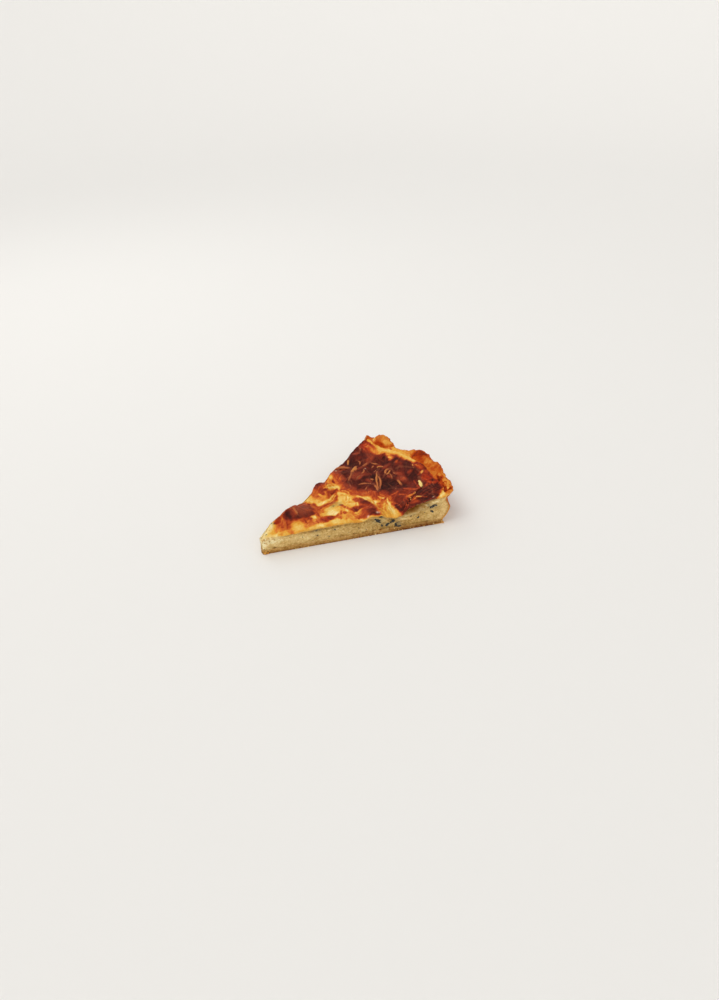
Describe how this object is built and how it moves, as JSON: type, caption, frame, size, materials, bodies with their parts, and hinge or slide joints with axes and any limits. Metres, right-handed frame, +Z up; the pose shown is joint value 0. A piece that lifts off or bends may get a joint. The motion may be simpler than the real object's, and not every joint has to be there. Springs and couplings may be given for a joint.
{
  "type": "slice of quiche lorraine",
  "caption": "Wedge of baked quiche: flat shortcrust base, raised wavy rim, set egg and cheese filling, lumpy dark browned top with grated cheese strands.",
  "frame": {"origin": "middle of the wedge's outline seen from above, at the height of its flat underside", "axes": "+X from the cut tip towards the raised rim, +Z up; the cut that faces -Y shows in the picture"},
  "size_m": [0.1516, 0.105, 0.0311],
  "materials": {
    "pastry_case": "matt",
    "egg_filling": "satin"
  },
  "bodies": {
    "root": {"pastry_case": "pastry_case", "egg_filling": "egg_filling"}
  },
  "joints": []
}
